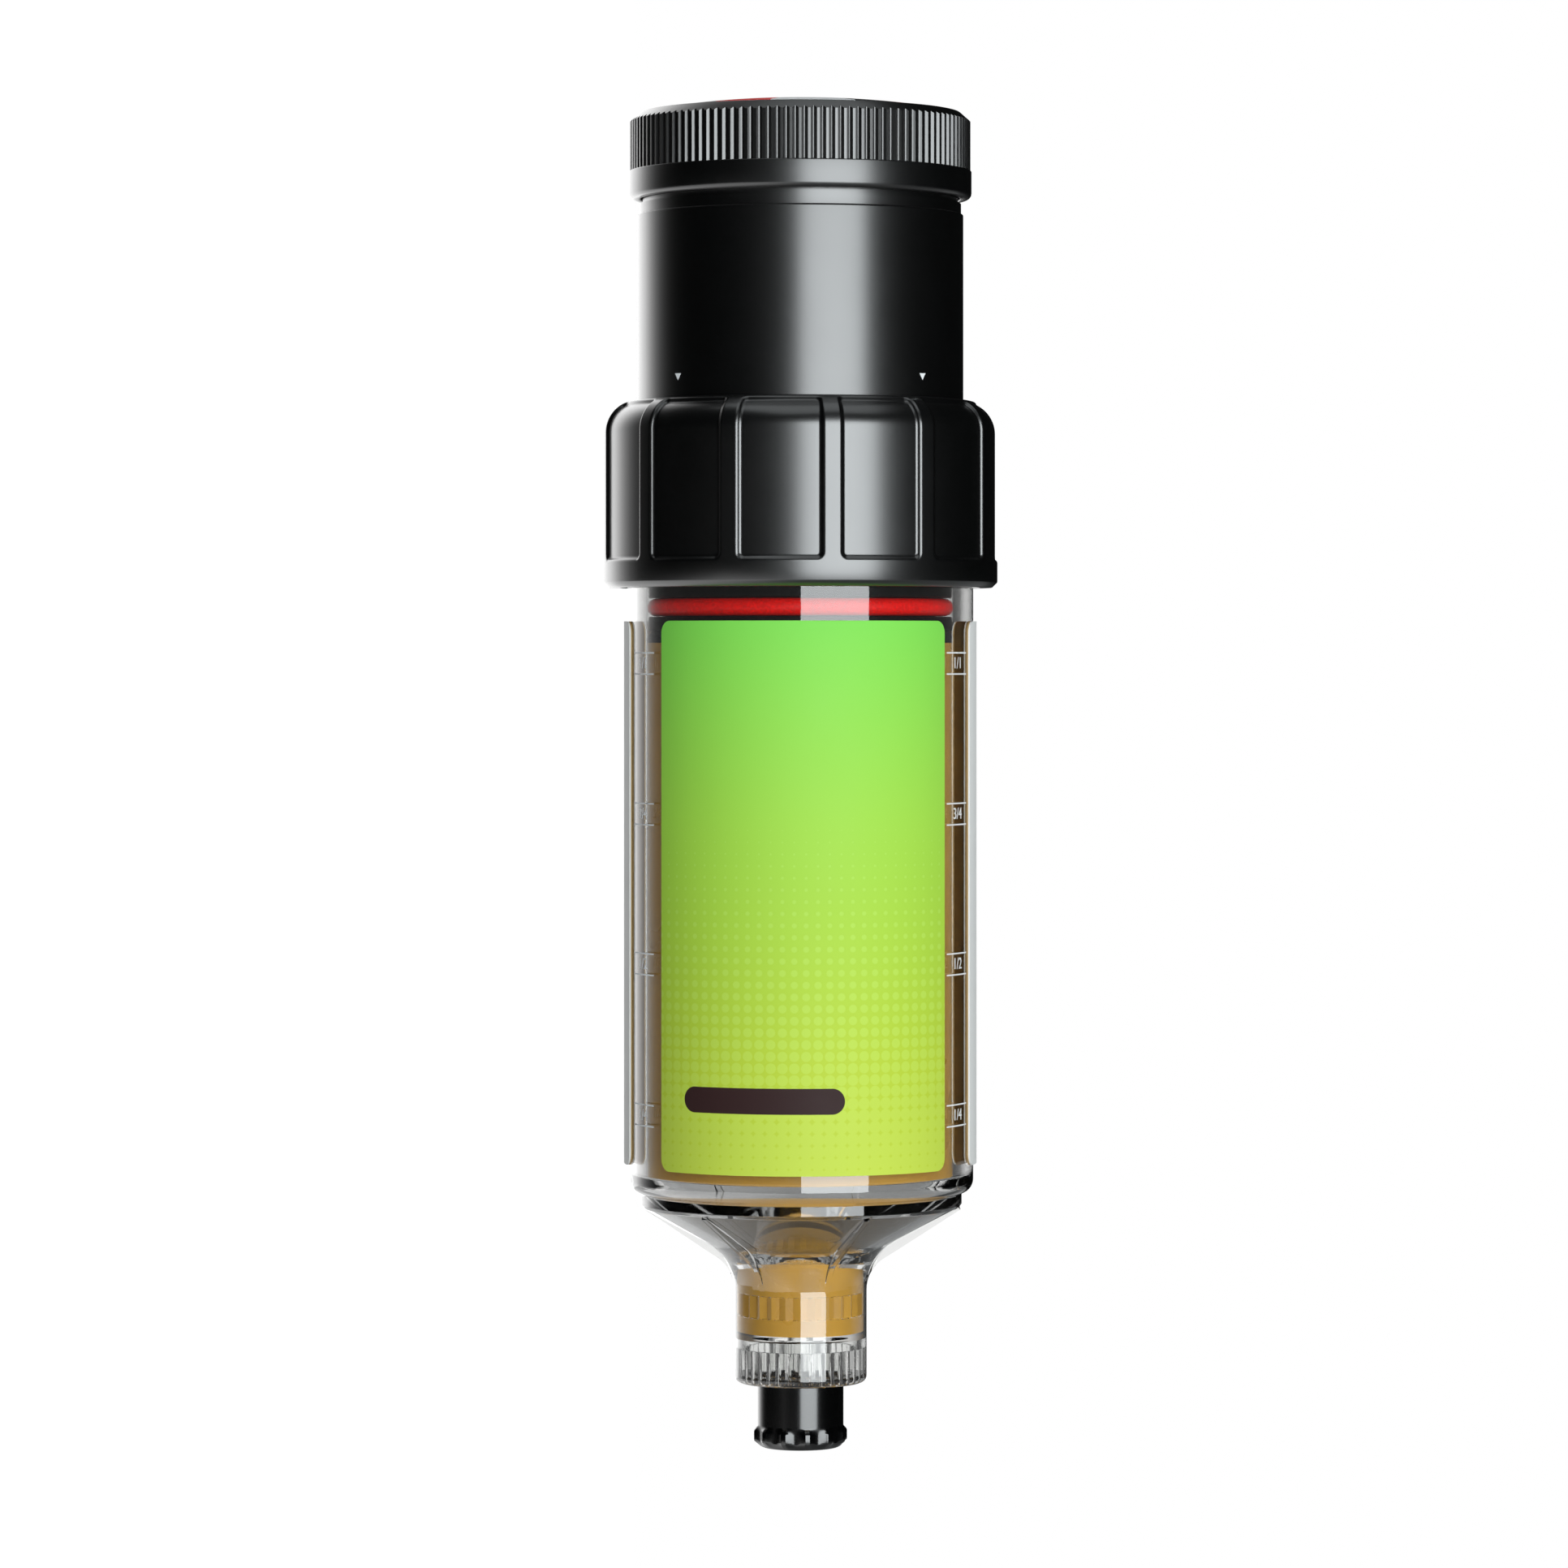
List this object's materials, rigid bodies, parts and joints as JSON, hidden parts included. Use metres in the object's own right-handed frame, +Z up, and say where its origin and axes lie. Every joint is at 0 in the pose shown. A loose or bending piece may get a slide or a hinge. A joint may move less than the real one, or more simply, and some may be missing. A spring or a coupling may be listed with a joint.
{
  "type": "automatic lubricator",
  "caption": "Battery driven grease lubricator: domed screw cover, black drive head, ribbed union ring, clear grease cartridge with piston, funnel outlet and screw cap.",
  "frame": {"origin": "on the axis, at the low end of the straight wall of the outlet neck", "axes": "+Z up along the body's axis towards the drive head, -Y towards the front label"},
  "size_m": [0.0716, 0.0716, 0.2442],
  "materials": {
    "clear_shell": "clear moulded polycarbonate",
    "front_print": "printed label, green fading to yellow-green",
    "rear_print": "printed label, pale grey",
    "grease": "amber lubricating grease",
    "black_gloss": "black moulded plastic, satin gloss",
    "black_matte": "black moulded plastic",
    "red_rubber": "red silicone rubber",
    "black_rubber": "black nitrile rubber",
    "brass_metal": "turned brass",
    "steel": "zinc plated steel",
    "white_plastic": "natural acetal",
    "grey_plastic": "grey moulded plastic",
    "cell_sleeve": "blue cell sleeve",
    "board_green": "green circuit board laminate",
    "panel_print": "printed face sheet",
    "lcd_glass": "display glass",
    "lens_clear": "clear domed window",
    "key_red": "red key cap",
    "led_green": "green diffused lens"
  },
  "bodies": {
    "cartridge": {"cartridge_shell": "clear_shell", "front_label": "front_print", "rear_label": "rear_print", "grease_fill": "grease", "grease_outlet": "grease"},
    "screw": {"feed_screw": "white_plastic"},
    "piston": {"piston": "black_matte", "piston_ring": "red_rubber", "wiper_seal": "black_rubber", "piston_nut": "brass_metal"},
    "drive": {"drive_housing": "black_gloss", "drive_base": "black_matte", "mouth_seal": "black_rubber", "shaft_seal": "black_rubber", "output_bearing": "steel", "base_screws": "steel", "gear_plate": "grey_plastic", "plate_screws": "steel", "shaft_bushing": "brass_metal", "gear_motor": "steel", "battery_holder": "grey_plastic", "battery_cells": "cell_sleeve", "lower_contacts": "steel", "upper_contacts": "steel", "circuit_board": "board_green", "board_screws": "steel", "control_panel": "grey_plastic", "panel_overlay": "panel_print", "lcd_display": "lcd_glass", "push_switch": "black_matte", "status_led": "led_green"},
    "union_ring": {"lock_ring": "black_gloss"},
    "output": {"output_shaft": "steel", "output_gear": "white_plastic"},
    "pinion": {"motor_pinion": "brass_metal"},
    "cover_carrier": {"cover_seal": "black_rubber"},
    "cover": {"cover_ring": "black_gloss", "lens_gasket": "black_rubber", "cover_lens": "lens_clear"},
    "cap_carrier": {"cap_washer": "black_rubber"},
    "cap": {"outlet_cap": "black_gloss"},
    "button": {"set_button": "key_red"}
  },
  "joints": [
    {"name": "piston_slide", "type": "slide", "parent": "cartridge", "child": "piston", "axis": [0, 0, -1], "range_m": [0, 0.096], "deforming": ["grease_fill"]},
    {"name": "screw_spin", "type": "hinge", "parent": "cartridge", "child": "screw", "pos_m": [0, 0, 0.1], "axis": [0, 0, 1], "range_deg": [-1, 11521]},
    {"name": "output_spin", "type": "hinge", "parent": "drive", "child": "output", "pos_m": [0, 0, 0.17], "axis": [0, 0, 1], "range_deg": [-1, 11521]},
    {"name": "pinion_spin", "type": "hinge", "parent": "drive", "child": "pinion", "pos_m": [-0.014, 0, 0.17], "axis": [0, 0, 1], "range_deg": [-34561, 1]},
    {"name": "drive_lift", "type": "slide", "parent": "cartridge", "child": "drive", "axis": [0, 0, 1], "range_m": [0, 0.009]},
    {"name": "ring_turn", "type": "hinge", "parent": "drive", "child": "union_ring", "pos_m": [0, 0, 0.16], "axis": [0, 0, 1], "range_deg": [-1, 1081]},
    {"name": "cover_lift", "type": "slide", "parent": "drive", "child": "cover_carrier", "axis": [0, 0, 1], "range_m": [0, 0.0075]},
    {"name": "cover_turn", "type": "hinge", "parent": "cover_carrier", "child": "cover", "pos_m": [0, 0, 0.22], "axis": [0, 0, 1], "range_deg": [-1, 1081]},
    {"name": "cap_drop", "type": "slide", "parent": "cartridge", "child": "cap_carrier", "axis": [0, 0, -1], "range_m": [0, 0.00802]},
    {"name": "cap_turn", "type": "hinge", "parent": "cap_carrier", "child": "cap", "pos_m": [0, 0, -0.005], "axis": [0, 0, -1], "range_deg": [-1, 2161]},
    {"name": "button_press", "type": "slide", "parent": "drive", "child": "button", "axis": [0, 0, -1], "range_m": [0, 0.0006], "stiffness_N_per_m": 400}
  ],
  "couplings": [
    {"joint": "screw_spin", "follows": "piston_slide", "rad_per_m": 2094.4},
    {"joint": "output_spin", "follows": "piston_slide", "rad_per_m": 2094.4},
    {"joint": "pinion_spin", "follows": "piston_slide", "rad_per_m": -6283.2},
    {"joint": "ring_turn", "follows": "drive_lift", "rad_per_m": 2094.4},
    {"joint": "cover_turn", "follows": "cover_lift", "rad_per_m": 2513.3},
    {"joint": "cap_turn", "follows": "cap_drop", "rad_per_m": 4699.5}
  ]
}
